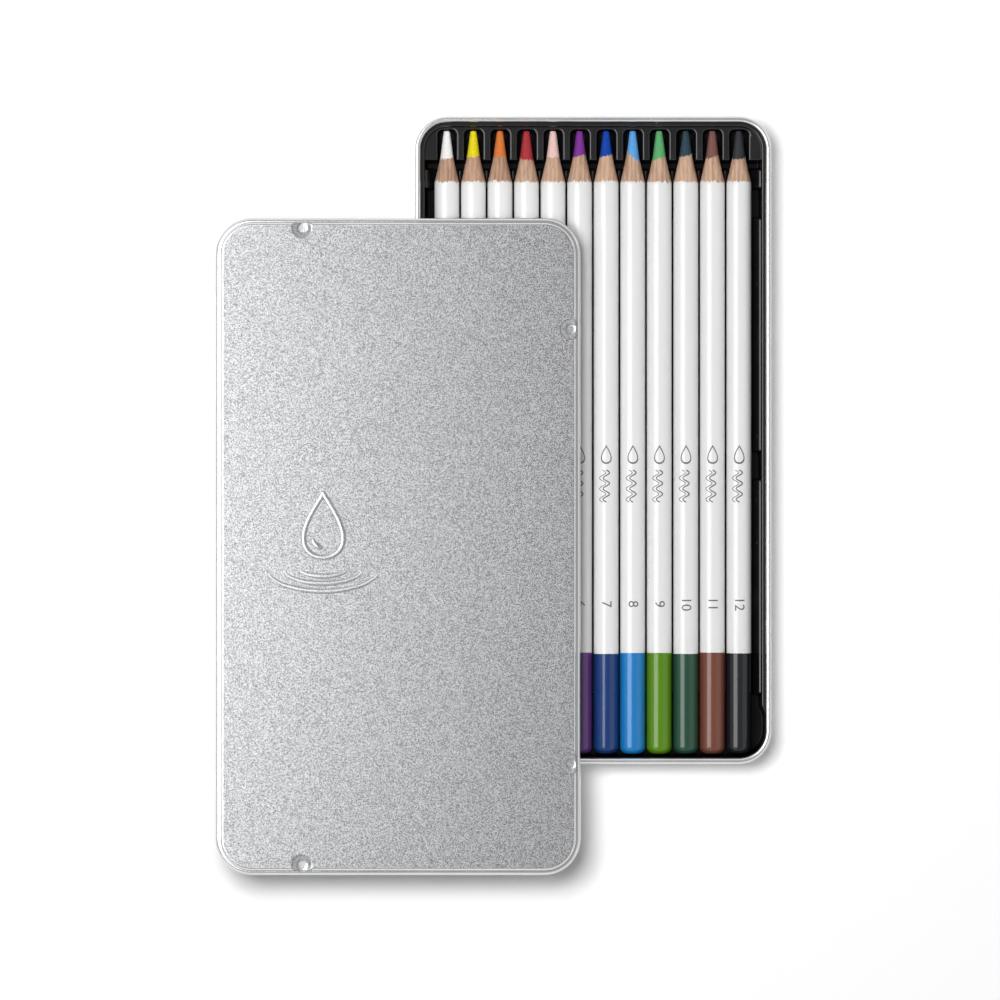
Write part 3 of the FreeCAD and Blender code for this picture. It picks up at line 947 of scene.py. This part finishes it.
def lid_section():
    """Section of the lid's sheet, from the panel's upper face round the hem to its lower face."""
    sheet = TIN_SHEET
    brim = (LID_PANEL_EDGE, LID_HEIGHT - LID_PANEL_ROUND)
    shoulder = (LID_SHOULDER_ROUND, LID_STEP_Z - LID_SHOULDER_ROUND)
    dimple_end = DIMPLE_INSET + DIMPLE_HALF + 0.6
    stops = list(np.arange(LID_PANEL_EDGE + PANEL_STOP, dimple_end, PANEL_STOP))
    section = [(LID_FLAT, LID_HEIGHT)] + [(s, LID_HEIGHT) for s in reversed(stops)]
    section += arc(brim, LID_PANEL_ROUND, 90, 180, 8)
    section += [(LID_SHOULDER + 0.02, LID_STEP_Z + 0.03), (LID_SHOULDER - 0.06, LID_STEP_Z)]
    section += arc(shoulder, LID_SHOULDER_ROUND, 90, 180, 10)
    section += arc((sheet, sheet), sheet, 180, 270, 5) + arc((sheet, sheet), sheet, 270, 360, 5)[1:]
    section += [(2 * sheet, LID_HEM), (sheet, LID_HEM)]
    section += arc(shoulder, LID_SHOULDER_ROUND - sheet, 180, 90, 6)
    section += [(LID_SHOULDER + sheet, LID_STEP_Z - sheet)]
    section += arc(brim, LID_PANEL_ROUND - sheet, 180, 90, 5)
    return section + [(s, LID_HEIGHT - sheet) for s in stops] + [(LID_FLAT, LID_HEIGHT - sheet)]


def make_lid(finish):
    """Drawn lid: hemmed skirt, stepped shoulder, flat panel and four dimples."""
    sheet = TIN_SHEET
    near = [(place, DIMPLE_REACH, DIMPLE_STOP) for place in dimple_places()]
    path = outline(LID_HALF_X, LID_HALF_Y, LID_CORNER, pitch=8.0, close_up=near)
    made = drawn_sheet("lid_piece", path, lid_section(), finish)
    mesh = made.data
    spots = np.zeros(len(mesh.vertices) * 3)
    mesh.vertices.foreach_get("co", spots)
    spots = spots.reshape(-1, 3) / MM
    x, y, z = spots.T
    from_edge = inside_outline(x, y, LID_HALF_X, -LID_HALF_Y, LID_HALF_Y, LID_CORNER)
    under_panel = (z < LID_HEIGHT - sheet + 0.01) & (from_edge > LID_PANEL_EDGE - 0.1)
    top_face = (z > LID_STEP_Z - 0.02) & ~under_panel
    pressed = np.where(top_face, press_dimples(x, y, z, 0.0), press_dimples(x, y, z, sheet))
    on_top = (z > LID_STEP_Z - sheet - 0.05) & (from_edge > LID_SHOULDER - 0.3)
    spots[:, 2] = np.where(on_top, pressed, z)
    mesh.vertices.foreach_set("co", ((spots + np.array(LID_PLACE)) * MM).ravel())
    to_dimple = np.min([np.hypot(x - a, y - b) for a, b in dimple_places()], axis=0)
    in_dimple = (to_dimple < DIMPLE_HALF + 0.4) & top_face & (spots[:, 2] < LID_HEIGHT - 0.05)
    on_panel = np.clip((from_edge - LID_PANEL_EDGE + 0.35) / 0.5, 0, 1) * (z > LID_HEIGHT - 0.05)
    frost = np.where(in_dimple, DIMPLE_FROST, on_panel)
    mesh.attributes.new("frost", "FLOAT", "POINT").data.foreach_set("value", frost)
    return settle(made, sharp=50.0)


def make_tin():
    """Tin base, lid and the lid's emblem."""
    base = make_tin_base(make_finish("bright_tin", bright_tin))
    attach(base, "tin")
    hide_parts("tin_base")
    frosted = make_finish("frosted_lid", frosted_lid)
    lid = make_lid(frosted)
    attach(lid, "lid")
    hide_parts("lid")
    make_emblem(frosted)


# Formed tray

def inside_corner(qx, qy, corner):
    """Distance inside a rounded corner whose arc is centred at the origin."""
    outer = np.hypot(np.maximum(qx, 0), np.maximum(qy, 0))
    return corner - outer - np.minimum(np.maximum(qx, qy), 0)


def inside_outline(x, y, half_x, rear, front, corner):
    """Distance inside a rounded rectangle, negative outside it."""
    qx = np.abs(x) - (half_x - corner)
    qy = np.abs(y - (front + rear) / 2) - ((front - rear) / 2 - corner)
    return inside_corner(qx, qy, corner)


def inside_well(x, y):
    """Distance inside the edge of the well and of its wider end recess."""
    main = inside_outline(x, y, WELL_HALF_X, WELL_REAR, WELL_FRONT, WELL_CORNER)
    recess = inside_outline(x, y, RECESS_HALF_X, RECESS_REAR, RECESS_FRONT, RECESS_CORNER)
    return np.maximum(main, recess)


def formed_drop(beyond, high, edge):
    """Drop down a formed edge: rounded top, leaning wall, rounded foot."""
    start, top_round, foot_round, lean = edge
    turn = math.radians(lean)
    level = 1 - math.cos(turn)
    arc_end = top_round * math.sin(turn)
    wall_high = np.maximum(high - (top_round + foot_round) * level, 0)
    wall_end = arc_end + wall_high / math.tan(turn)
    foot_end = wall_end + foot_round * math.sin(turn)
    along = beyond + start
    on_arc = np.clip(along, 0, arc_end)
    on_wall = np.clip(along, arc_end, wall_end) - arc_end
    to_foot = foot_end - np.clip(along, wall_end, foot_end)
    foot = foot_round - np.sqrt(np.maximum(foot_round ** 2 - to_foot ** 2, 0))
    drop = top_round - np.sqrt(top_round ** 2 - on_arc ** 2) + on_wall * math.tan(turn)
    return np.minimum(drop + (foot_round * level - foot), high)


def from_axis(x):
    """Distance across to the nearest pencil's axis."""
    last = len(PENCILS) - 1
    nearest = np.clip(np.round(x / PITCH + last / 2), 0, last)
    return np.abs(x - (nearest - last / 2) * PITCH)


def cradle_top(x):
    """Grooves for the barrels, soft ridges between them, lands at the sides."""
    groove = AXIS_Z - np.sqrt(np.maximum(GROOVE_RADIUS ** 2 - from_axis(x) ** 2, 0))
    rows = soft_min(groove, RIDGE_Z + 0 * x, RIDGE_SOFT)
    flank = RIDGE_Z + (np.abs(x) - SIDE_FOOT_X) * (SIDE_LAND_Z - RIDGE_Z) / SIDE_FLANK
    side = soft_min(flank, SIDE_LAND_Z + 0 * x, LAND_SOFT)
    return -soft_min(-rows, -side, CRADLE_SOFT)


def tray_height(x, y, inset=0.0):
    """Height of the tray's upper face, or of its lower face when inset."""
    floor = FLOOR_Z - inset
    flange = FLANGE_Z - inset
    z = flange - formed_drop(inside_well(x, y) + inset, flange - floor, WALL_EDGE)
    top = cradle_top(x) - inset
    for front, rear in BARS:
        beyond = np.maximum(y - front, rear - y) + inset
        z = np.maximum(z, top - formed_drop(beyond, top - floor, BAR_EDGE))
    land = TIP_LAND_Z - inset
    shelf = land - formed_drop(TIP_REAR - y + inset, land - floor, BAR_EDGE)
    qx = from_axis(x) - (POCKET_HALF - POCKET_ROUND)
    qy = y - (POCKET_BACK - POCKET_ROUND)
    depth = inside_corner(qx, qy, POCKET_ROUND) + inset
    pocket = land - formed_drop(depth, land - POCKET_FLOOR_Z + inset, POCKET_EDGE)
    return np.maximum(z, np.minimum(shelf, pocket))


def tray_lines():
    """Places across and along where the tray's mesh has its lines."""
    sides = (-1, 1)
    across = {round(axis_x(i) + side * off, 3)
              for i in range(len(PENCILS)) for off in OFF_AXIS for side in sides}
    across |= {round(side * x, 3) for x in AT_SIDES for side in sides}
    edges = [(TIP_REAR, -1)]
    for front, rear in BARS:
        edges += [(front, 1), (rear, -1)]
    along = {round(edge + way * off, 3) for edge, way in edges for off in AT_EDGES}
    return np.array(sorted(across)), np.array(sorted(along | BETWEEN_EDGES))


def corner_pairs(x, edge_y, edge_round, rim_y, start):
    """Points round a corner of the well, each with the one beside it on the flange's edge."""
    edge = arc((x, edge_y), edge_round, start, start + 90, 16)
    rim = arc((x, rim_y), FLANGE_CORNER, start, start + 90, 16)
    return [inner + outer for inner, outer in zip(edge, rim)]


def well_path(across, along):
    """Half of the well's edge from the middle of the rear, with the flange's edge beside it."""
    centre = WELL_HALF_X - WELL_CORNER
    rear = RECESS_REAR + RECESS_CORNER
    flange_rear = -FLANGE_HALF_Y + FLANGE_CORNER
    front = WELL_FRONT - WELL_CORNER
    straight = across[(across > 0) & (across < centre - 0.05)]
    path = [(x, RECESS_REAR, x, -FLANGE_HALF_Y) for x in straight]
    path += corner_pairs(centre, rear, RECESS_CORNER, flange_rear, -90)
    turn = (centre, RECESS_FRONT - RECESS_CORNER)
    meet = math.degrees(math.acos(WELL_CORNER / RECESS_CORNER))
    path += [(x, y, FLANGE_HALF_X, y) for x, y in arc(turn, RECESS_CORNER, 0, meet, 8)]
    start = path[-1][1] + 0.3
    path += [(WELL_HALF_X, y, FLANGE_HALF_X, y)
             for y in along[(along > start) & (along < front - 0.05)]]
    path += corner_pairs(centre, front, WELL_CORNER, front, 0)
    return path + [(x, WELL_FRONT, x, FLANGE_HALF_Y) for x in straight[::-1]]


def tray_plan():
    """Plan of the tray's mesh: points, faces and the sides of its outer edge.
    Rings of faces follow the wall, a grid fills the middle, and triangles join the two."""
    across, along = tray_lines()
    half = well_path(across, along)
    path = np.array(half + [(-a, b, -c, d) for a, b, c, d in reversed(half)])
    edge, outer = path[:, :2], path[:, 2:]
    way = np.roll(edge, -1, 0) - np.roll(edge, 1, 0)
    inwards = np.stack([-way[:, 1], way[:, 0]], 1) / np.hypot(*way.T)[:, None]
    brink = edge - WALL_EDGE[0] * inwards
    rows = [outer, outer + (brink - outer) * FLANGE_SHARE, brink]
    rows += [edge + off * inwards for off in DOWN_WALL]
    count = len(path)
    points = [tuple(p) for row in rows for p in row]
    faces = []
    for first in range(0, (len(rows) - 1) * count, count):
        for i in range(count):
            j = (i + 1) % count
            faces.append((first + i, first + j, first + count + j, first + count + i))
    inner = list(range((len(rows) - 1) * count, len(rows) * count))
    well = inside_well(*np.meshgrid(across, along)) > GRID_INSET
    kept = well[:-1, :-1] & well[1:, :-1] & well[:-1, 1:] & well[1:, 1:]
    number = {}
    grid = []
    for r, c in zip(*np.nonzero(kept)):
        quad = []
        for place in ((r, c), (r, c + 1), (r + 1, c + 1), (r + 1, c)):
            if place not in number:
                number[place] = len(points)
                points.append((across[place[1]], along[place[0]]))
            quad.append(number[place])
        grid.append(tuple(quad))
    border = border_lines(grid)
    used = inner + sorted({i for side in border for i in side})
    local = {v: i for i, v in enumerate(used)}
    ring = [(i, (i + 1) % count) for i in range(count)]
    lines = [(local[a], local[b]) for a, b in border] + ring
    flat = [Vector(points[v]) for v in used]
    corners, _, triangles, sources, _, _ = geometry.delaunay_2d_cdt(flat, lines, [], 1, 1e-6)
    faces += grid
    for tri in triangles:
        middle = sum((corners[v] for v in tri), Vector((0, 0))) / len(tri)
        column = np.searchsorted(across, middle.x) - 1
        row = np.searchsorted(along, middle.y) - 1
        on_grid = 0 <= row < kept.shape[0] and 0 <= column < kept.shape[1] and kept[row, column]
        if not on_grid and inside_well(middle.x, middle.y) > FILL_INSET:
            faces.append(tuple(used[sources[v][0]] for v in tri))
    return np.array(points), faces, ring


def make_tray(finish):
    """Formed sheet: flange, well, tip pockets, grooved cradles, channels and end recess."""
    plan, faces, rim = tray_plan()
    x, y = plan.T
    z = tray_height(x, y)
    lower_z = np.minimum(tray_height(x, y, TRAY_SHEET), z - LEAST_SHEET)
    upper, lower = np.stack([x, y, z], 1) * MM, np.stack([x, y, lower_z], 1) * MM
    mesh = closed_sheet("pencil_tray_piece", upper, lower, faces, rim)
    mesh.materials.append(finish)
    made = settle(place_object("pencil_tray_piece", mesh), sharp=60.0)
    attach(made, "tin")
    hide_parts("pencil_tray")


# Prints on the barrels and the raised emblem on the lid

def strip(one_side, other_side, closed):
    """Flat stroke between two lines of as many points: its corners and faces."""
    count = len(one_side)
    runs = [(i, (i + 1) % count) for i in range(count if closed else count - 1)]
    return one_side + other_side, [(i, j, count + j, count + i) for i, j in runs]


def ribbon(points, width):
    """Flat stroke of even width along an open line."""
    line = np.array(points)
    way = np.gradient(line, axis=0)
    side = np.stack([-way[:, 1], way[:, 0]], 1) / np.hypot(*way.T)[:, None] * width / 2
    return strip([tuple(p) for p in line - side], [tuple(p) for p in line + side], False)


def drop_line(width, height, steps):
    """Outline of a water drop, its point upwards."""
    turns = [2 * math.pi * (i + 0.5) / steps for i in range(steps)]
    return [(width / 2 * math.sin(t) * math.sin(t / 2) ** 1.3 * 1.22, height / 2 * math.cos(t))
            for t in turns]


def print_plan(label):
    """Flat print for one barrel: a number, a small drop and a wave. X runs along the barrel."""
    words = bpy.data.curves.new("number", "FONT")
    words.body = label
    words.size = NUMBER_SIZE
    words.align_x = "CENTER"
    words.align_y = "CENTER"
    holder = place_object("number", words)
    mesh = plain_mesh(holder)
    spots = [(v.co.x + NUMBER_AT, v.co.y) for v in mesh.vertices]
    faces = [tuple(p.vertices) for p in mesh.polygons]
    bpy.data.objects.remove(holder)
    bpy.data.meshes.remove(mesh)
    drops = [[(at - y, x) for x, y in drop_line(width, height, DROP_STEPS)]
             for at, width, height in (DROP_INNER, DROP_OUTER)]
    strokes = [strip(*drops, True)]
    for beside, width in WAVES:
        wave = [(WAVE_START + WAVE_STEP * i, WAVE_HIGH * math.sin(i * WAVE_TURN) - beside)
                for i in range(WAVE_POINTS)]
        strokes.append(ribbon(wave, width))
    for corners, quads in strokes:
        start = len(spots)
        spots += corners
        faces += [tuple(start + v for v in quad) for quad in quads]
    return spots, faces


def clean_plan(work):
    """Joins points that touch and drops faces without area."""
    bmesh.ops.remove_doubles(work, verts=work.verts, dist=TOUCH * MM)
    bmesh.ops.dissolve_degenerate(work, edges=work.edges, dist=TOUCH * MM)


def make_prints():
    """Numbers and small water motifs printed in grey on the barrels."""
    ink = make_finish("print_ink", print_ink)
    for index, pencil in enumerate(PENCILS):
        spots, faces = print_plan(str(index + 1))
        mesh = bpy.data.meshes.new("print_plan")
        mesh.from_pydata([(x * MM, y * MM, 0.0) for x, y in spots], [], faces)
        work = open_mesh(mesh)
        clean_plan(work)
        for cut in range(-CUTS, CUTS + 1):
            parts = work.verts[:] + work.edges[:] + work.faces[:]
            level = (0, (cut * CUT_PITCH + CUT_START) * MM, 0)
            bmesh.ops.bisect_plane(
                work, geom=parts, dist=TOUCH * MM, plane_co=level, plane_no=(0, 1, 0))
        clean_plan(work)
        close_mesh(work, mesh)
        lower = np.array([v.co for v in mesh.vertices])
        faces = [tuple(p.vertices) for p in mesh.polygons]
        bpy.data.meshes.remove(mesh)
        name = pencil[0] + "_pencil_print"
        upper = lower + (0, 0, INK_THICK * MM)
        solid = closed_sheet(name, upper, lower, faces, border_lines(faces))
        made = place_object(name, solid)
        place = (axis_x(index) * MM, 0.0, AXIS_Z * MM)
        grow(made, PRINT_ON_BARREL, Axis_Place=place, Finish=ink)
        settle(made)
        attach(made, pencil[0] + "_pencil")


def make_emblem(finish):
    """Raised drop over three ripples, pressed up from the lid's panel."""
    turns = [math.radians(a) for a in range(0, 181, 15)]
    bead = [(BEAD_HALF * math.cos(t), -BEAD_HIGH * math.sin(t)) for t in turns]
    bead += [(-BEAD_HALF, BEAD_SUNK), (BEAD_HALF, BEAD_SUNK)]
    section = line_object("emblem_bead", bead, True)
    drop = [(x, y + EMBLEM_DROP_Y) for x, y in drop_line(*EMBLEM_DROP)]
    lines = [("emblem_drop", drop, True), ("emblem_gleam", arc(*GLEAM_ARC), False)]
    for ring, (wide, deep) in enumerate(RIPPLES):
        turns = np.radians(np.linspace(188 + 2 * ring, 352 - 2 * ring, 48))
        ripple = [(wide * math.cos(t), RIPPLES_Y + deep * math.sin(t)) for t in turns]
        lines.append(("emblem_ripple_%d" % (ring + 1), ripple, False))
    place = tuple(Vector(EMBLEM_PLACE + (LID_PLACE[2] + LID_HEIGHT,)) * MM)
    for name, line, closed in lines:
        count = len(line)
        swell = [math.sin(math.pi * (i + 0.5) / count) for i in range(count)]
        taper = [1.0 if closed else THIN_END + (1 - THIN_END) * s for s in swell]
        made = line_object(name, line, closed, {"line_width": taper})
        grow(made, RAISED_LINE, Section=section, Place=place, Finish=finish)
        settle(made, sharp=50.0)
        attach(made, "lid")
    bpy.data.objects.remove(section)


# Studio

def make_floor():
    """Pale floor. It shows white where no shadow falls on it."""
    mesh = bpy.data.meshes.new("studio_floor")
    corners = ((-1, -1), (1, -1), (1, 1), (-1, 1))
    points = [(x * GROUND_REACH, y * GROUND_REACH, GROUND_Z) for x, y in corners]
    mesh.from_pydata(points, [], [(0, 1, 2, 3)])
    floor = place_object("studio_floor", mesh)
    material = bpy.data.materials.new("studio_floor")
    tree = clear_nodes(material)
    matt = add("ShaderNodeBsdfDiffuse", {"Color": (0.97, 0.97, 0.97, 1)}, tree)
    path = tree.nodes.new("ShaderNodeLightPath").outputs
    seen = maths("MAXIMUM", path["Is Camera Ray"], path["Is Glossy Ray"])
    strength = times(seen, GROUND_GLOW)
    glow = add("ShaderNodeEmission", {"Color": (1, 1, 1, 1), "Strength": strength})
    both = add("ShaderNodeAddShader", {0: matt.outputs[0], 1: glow.outputs[0]})
    add("ShaderNodeOutputMaterial", {"Surface": both.outputs[0]})
    mesh.materials.append(material)


def make_world():
    """White room. Reflections see it dimmer, with a brighter band low at both ends."""
    world = bpy.data.worlds.new("studio_room")
    bpy.context.scene.world = world
    tree = clear_nodes(world)
    path = tree.nodes.new("ShaderNodeLightPath").outputs
    x, y, z = parts_of(tree.nodes.new("ShaderNodeTexCoord").outputs["Generated"])
    upper = spread(z, 0.0, 0.8, 0.36, 0.42)
    leftwards = maths("MULTIPLY_ADD", x, -0.3, 1.0)
    ends = spread(maths("ABSOLUTE", y), 0.2, 0.6)
    low = spread(z, 0.55, 0.85, 0.62, 0.0)
    room = times(upper, leftwards)
    mirrored = maths("MULTIPLY_ADD", ends, low, room)
    strength = blend(path["Is Glossy Ray"], AMBIENT, mirrored)
    seen = maths("MAXIMUM", path["Is Camera Ray"], path["Is Transmission Ray"])
    shown = blend(seen, strength, 1.0)
    ground = add("ShaderNodeBackground", {"Color": (1, 1, 1, 1), "Strength": shown})
    add("ShaderNodeOutputWorld", {"Surface": ground.outputs[0]})


def make_lamp(name, place, aim, size, glow, lights, mirrored):
    """Rectangular softbox that faces a point. Its glow counts plain white as one."""
    lamp = bpy.data.lights.new(name, "AREA")
    lamp.shape = "RECTANGLE"
    lamp.size, lamp.size_y = size
    lamp.energy = 4.0 * glow * size[0] * size[1]
    made = place_object(name, lamp)
    made.location = place
    made.rotation_euler = (Vector(aim) - Vector(place)).to_track_quat("-Z", "Y").to_euler()
    made.visible_diffuse = lights
    made.visible_glossy = mirrored


def make_camera():
    """Long lens straight above, at the photograph's framing."""
    data = bpy.data.cameras.new("camera")
    data.sensor_width = SENSOR_WIDTH
    data.lens = SENSOR_WIDTH * CAMERA_DISTANCE / VIEW_WIDTH
    data.clip_end = 20.0
    made = place_object("camera", data)
    made.location = (CAMERA_AT[0], CAMERA_AT[1], CAMERA_AT[2] + CAMERA_DISTANCE)
    bpy.context.scene.camera = made


def make_studio():
    """Floor, room, lamps and camera."""
    make_floor()
    make_world()
    for lamp in LAMPS:
        make_lamp(*lamp)
    make_camera()
    bpy.context.scene.view_settings.view_transform = "Standard"


make_pencils()
make_prints()
make_tray(make_finish("black_tray", black_tray))
make_tin()
make_studio()
